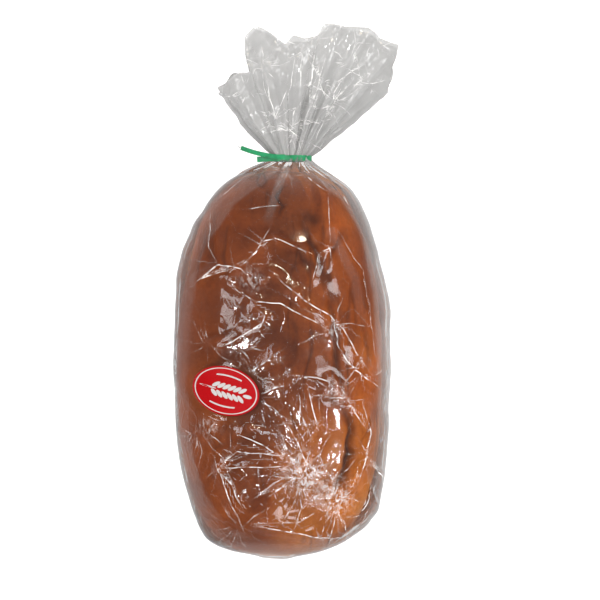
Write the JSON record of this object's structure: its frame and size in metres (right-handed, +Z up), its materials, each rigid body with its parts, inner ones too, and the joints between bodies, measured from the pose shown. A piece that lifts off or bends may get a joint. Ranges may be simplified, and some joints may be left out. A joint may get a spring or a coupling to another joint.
{
  "type": "bagged bread loaf",
  "caption": "Broad hearth loaf in a clear film bag, gathered at the neck by a twist tie, flared at the mouth, with an oval label.",
  "frame": {"origin": "middle of the part's length and width, on the surface it lies on", "axes": "+Y along the loaf from the closed tail of the bag to its open mouth, +Z up, +X to the right when seen from above"},
  "size_m": [0.1678, 0.3992, 0.0861],
  "materials": {
    "crust": "baked crust, reddish brown, matte to slightly glossy",
    "film": "clear thin film, glossy, creased",
    "ribbon": "green plastic ribbon, satin",
    "wire": "bare drawn wire",
    "label_paper": "coated paper, printed red and white"
  },
  "bodies": {
    "root": {"loaf": "crust", "bag": "film", "tie_ribbon": "ribbon", "tie_wire": "wire", "label": "label_paper"}
  },
  "joints": []
}
